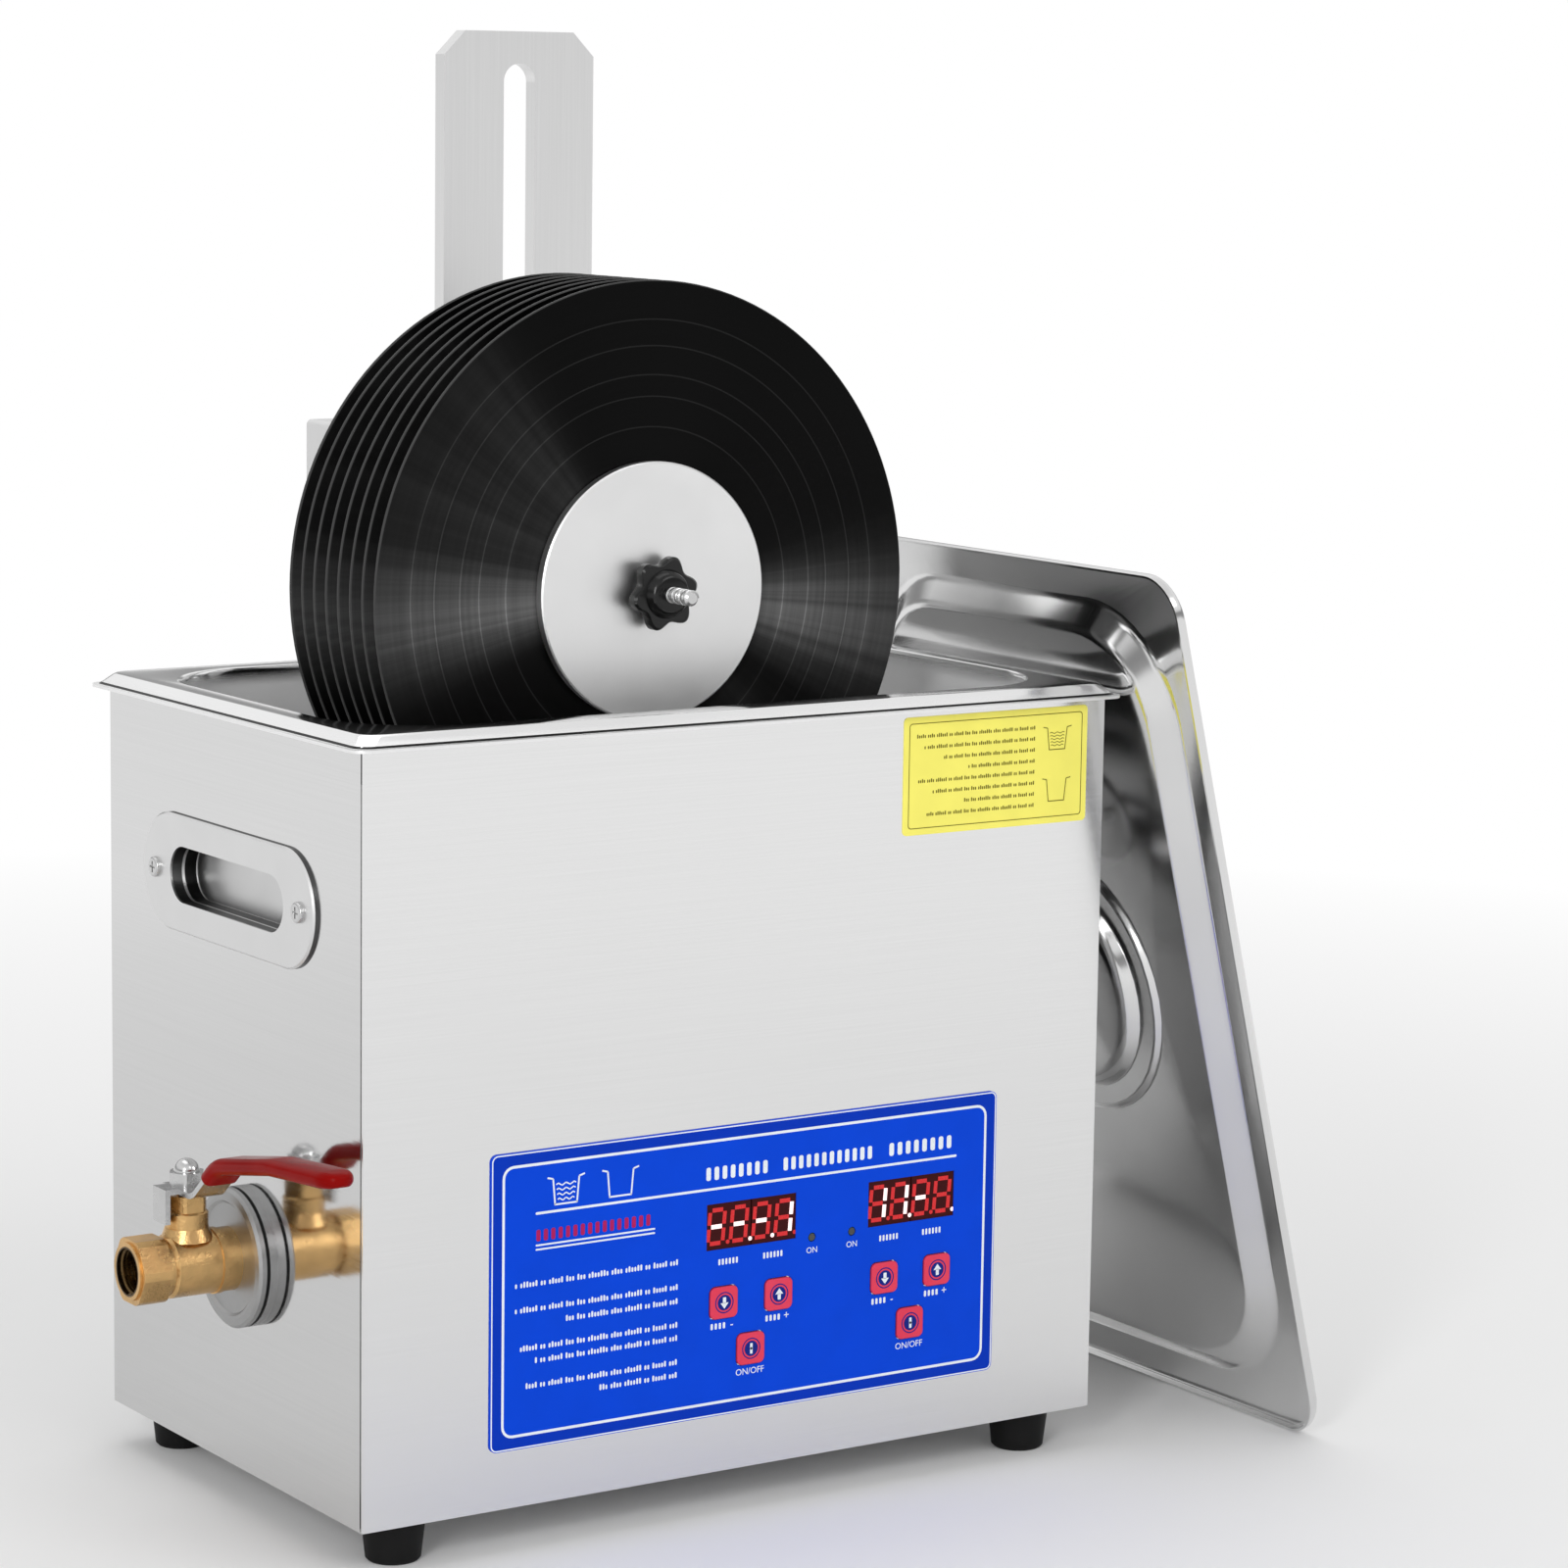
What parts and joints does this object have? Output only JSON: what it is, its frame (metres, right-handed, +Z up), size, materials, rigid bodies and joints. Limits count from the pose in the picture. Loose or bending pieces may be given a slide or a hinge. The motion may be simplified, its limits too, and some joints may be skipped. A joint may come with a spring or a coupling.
{
  "type": "record cleaning machine",
  "caption": "Heated ultrasonic bath on rubber feet with a drain valve and control panel, a motor stand that turns a clamped stack of records through it, and its lid.",
  "frame": {"origin": "on the floor, under the middle of the case", "axes": "+X right along the control panel, +Y from the panel to the upright plate, +Z up"},
  "size_m": [0.4965, 0.358, 0.594],
  "materials": {
    "case_steel": "brushed along the length",
    "tank_steel": "drawn, bright",
    "lid_steel": "polished pressing",
    "rubber": "matte",
    "plated_steel": "bright zinc",
    "handle_steel": "satin",
    "brass": "cast and turned",
    "ball_chrome": "polished",
    "grey_washer": "satin, turned",
    "sleeve_red": "soft dipped vinyl",
    "overlay_blue": "printed film",
    "display_red": "dark red filter",
    "key_red": "satin",
    "board_green": "board with parts",
    "horn_metal": "machined",
    "heater_silicone": "silicone",
    "black_plastic": "moulded",
    "vinyl": "grooved vinyl",
    "upright_aluminium": "mill finish",
    "stand_steel": "satin",
    "box_steel": "satin",
    "motor_steel": "zinc plated",
    "clamp_aluminium": "satin",
    "spacer_plastic": "moulded"
  },
  "bodies": {
    "machine": {"front_panel": "case_steel", "case_wrap": "case_steel", "base_plate": "case_steel", "tank": "tank_steel", "rubber_feet": "rubber", "handle_left": "handle_steel", "handle_right": "handle_steel", "fasteners": "plated_steel", "drain_elbow": "tank_steel", "drain_gasket": "rubber", "drain_washer": "grey_washer", "valve_body": "brass", "packing_nut": "brass", "control_overlay": "overlay_blue", "control_board": "board_green", "time_display": "display_red", "temp_display": "display_red", "transducers": "horn_metal", "heater_pad": "heater_silicone", "generator_board": "board_green", "fan_frame": "black_plastic", "power_inlet": "black_plastic", "bracket_foot": "stand_steel", "upright_plate": "upright_aluminium"},
    "drain_lever": {"valve_lever": "plated_steel", "lever_sleeve": "sleeve_red", "lever_nut": "plated_steel", "valve_stem": "brass", "valve_ball": "ball_chrome"},
    "carriage": {"motor_box": "box_steel", "motor_box_back": "box_steel", "motor_jack": "black_plastic", "gearmotor": "motor_steel"},
    "spindle": {"motor_shaft": "plated_steel", "shaft_coupling": "clamp_aluminium", "spindle_rod": "plated_steel", "rear_clamp_disc": "clamp_aluminium", "record_spacers": "spacer_plastic", "record_1": "vinyl", "record_2": "vinyl", "record_3": "vinyl", "record_4": "vinyl", "record_5": "vinyl", "record_6": "vinyl", "record_7": "vinyl", "record_8": "vinyl", "front_clamp_disc": "clamp_aluminium"},
    "clamp_knob": {"clamp_knob": "black_plastic"},
    "height_knob_upper": {"height_knob_upper": "black_plastic"},
    "height_knob_lower": {"height_knob_lower": "black_plastic"},
    "fan_rotor": {"fan_rotor": "black_plastic"},
    "power_rocker": {"power_rocker": "black_plastic"},
    "lid": {"lid_pan": "lid_steel", "lid_handle": "lid_steel"},
    "key_time_down": {"key_time_down": "key_red"},
    "key_time_up": {"key_time_up": "key_red"},
    "key_time_switch": {"key_time_switch": "key_red"},
    "key_temp_down": {"key_temp_down": "key_red"},
    "key_temp_up": {"key_temp_up": "key_red"},
    "key_temp_switch": {"key_temp_switch": "key_red"}
  },
  "joints": [
    {"name": "drain_lever_turn", "type": "hinge", "parent": "machine", "child": "drain_lever", "pos_m": [-0.201, -0.013, 0.107], "axis": [0, 0, -1], "range_deg": [0, 90]},
    {"name": "carriage_height", "type": "slide", "parent": "machine", "child": "carriage", "axis": [0, 0, 1], "range_m": [-0.025, 0.11]},
    {"name": "spindle_spin", "type": "hinge", "parent": "carriage", "child": "spindle", "pos_m": [-0.01, 0, 0.369], "axis": [0, -1, 0], "continuous": true},
    {"name": "clamp_knob_turn", "type": "hinge", "parent": "spindle", "child": "clamp_knob", "pos_m": [-0.01, -0.06, 0.369], "axis": [0, -1, 0], "range_deg": [0, 360]},
    {"name": "lid_lift", "type": "slide", "parent": "machine", "child": "lid", "axis": [0, 0, 1], "range_m": [0, 0.35]},
    {"name": "fan_spin", "type": "hinge", "parent": "machine", "child": "fan_rotor", "pos_m": [0.128, 0.1, 0.072], "axis": [0, -1, 0], "continuous": true},
    {"name": "power_rocker_tilt", "type": "hinge", "parent": "machine", "child": "power_rocker", "pos_m": [-0.118, 0.106, 0.077], "axis": [1, 0, 0], "range_deg": [0, 20]},
    {"name": "height_knob_upper_turn", "type": "hinge", "parent": "carriage", "child": "height_knob_upper", "pos_m": [0.05, 0.178, 0.403], "axis": [0, 1, 0], "range_deg": [0, 360]},
    {"name": "height_knob_lower_turn", "type": "hinge", "parent": "carriage", "child": "height_knob_lower", "pos_m": [0.05, 0.178, 0.339], "axis": [0, 1, 0], "range_deg": [0, 360]},
    {"name": "key_time_down_press", "type": "slide", "parent": "machine", "child": "key_time_down", "axis": [0, 1, 0], "range_m": [0, 0.0005], "stiffness_N_per_m": 400},
    {"name": "key_time_up_press", "type": "slide", "parent": "machine", "child": "key_time_up", "axis": [0, 1, 0], "range_m": [0, 0.0005], "stiffness_N_per_m": 400},
    {"name": "key_time_switch_press", "type": "slide", "parent": "machine", "child": "key_time_switch", "axis": [0, 1, 0], "range_m": [0, 0.0005], "stiffness_N_per_m": 400},
    {"name": "key_temp_down_press", "type": "slide", "parent": "machine", "child": "key_temp_down", "axis": [0, 1, 0], "range_m": [0, 0.0005], "stiffness_N_per_m": 400},
    {"name": "key_temp_up_press", "type": "slide", "parent": "machine", "child": "key_temp_up", "axis": [0, 1, 0], "range_m": [0, 0.0005], "stiffness_N_per_m": 400},
    {"name": "key_temp_switch_press", "type": "slide", "parent": "machine", "child": "key_temp_switch", "axis": [0, 1, 0], "range_m": [0, 0.0005], "stiffness_N_per_m": 400}
  ]
}
